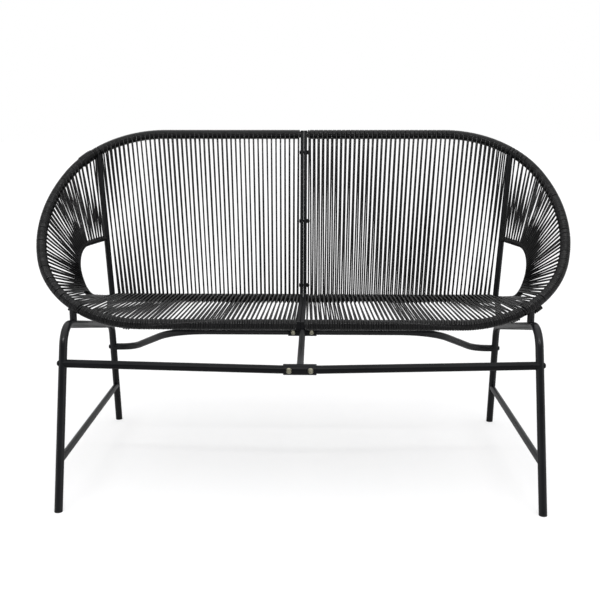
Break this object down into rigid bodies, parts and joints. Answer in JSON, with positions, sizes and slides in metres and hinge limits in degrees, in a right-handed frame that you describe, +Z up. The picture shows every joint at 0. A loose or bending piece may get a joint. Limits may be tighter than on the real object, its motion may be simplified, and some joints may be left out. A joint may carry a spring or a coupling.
{
  "type": "loveseat",
  "caption": "Patio loveseat with an oval cord-wrapped rim, straight cords for back, seat and arms, and bent tube leg frames tied by stretchers.",
  "frame": {"origin": "middle of the footprint, on the floor", "axes": "+X to the right seen from the front, +Y towards the back, +Z up"},
  "size_m": [1.3556, 0.672, 0.85],
  "materials": {
    "powder_coated_steel": "satin black powder coat",
    "cord": "satin black round plastic cord",
    "foot_plastic": "matte black",
    "yellow_zinc": "yellow zinc plate",
    "black_fasteners": "black"
  },
  "bodies": {
    "root": {"left_rim_tube": "powder_coated_steel", "left_centre_bar": "powder_coated_steel", "left_crease_tube": "powder_coated_steel", "left_side_post": "powder_coated_steel", "left_arm_hoop": "powder_coated_steel", "left_back_cords": "cord", "left_seat_cords": "cord", "left_arm_cords": "cord", "left_leg_frame": "powder_coated_steel", "left_low_rail": "powder_coated_steel", "left_front_stub": "powder_coated_steel", "left_rear_stub": "powder_coated_steel", "left_front_stretcher": "powder_coated_steel", "left_rear_stretcher": "powder_coated_steel", "left_front_foot": "foot_plastic", "left_rear_foot": "foot_plastic", "right_rim_tube": "powder_coated_steel", "right_centre_bar": "powder_coated_steel", "right_crease_tube": "powder_coated_steel", "right_side_post": "powder_coated_steel", "right_arm_hoop": "powder_coated_steel", "right_back_cords": "cord", "right_seat_cords": "cord", "right_arm_cords": "cord", "right_leg_frame": "powder_coated_steel", "right_low_rail": "powder_coated_steel", "right_front_stub": "powder_coated_steel", "right_rear_stub": "powder_coated_steel", "right_front_stretcher": "powder_coated_steel", "right_rear_stretcher": "powder_coated_steel", "right_front_foot": "foot_plastic", "right_rear_foot": "foot_plastic", "front_sleeve": "powder_coated_steel", "rear_sleeve": "powder_coated_steel", "connector_strut": "powder_coated_steel", "connector_bolts": "yellow_zinc", "connector_nuts": "yellow_zinc", "centre_bolts": "black_fasteners", "centre_nuts": "black_fasteners", "leg_bolts": "black_fasteners", "stretcher_plugs": "black_fasteners"}
  },
  "joints": []
}
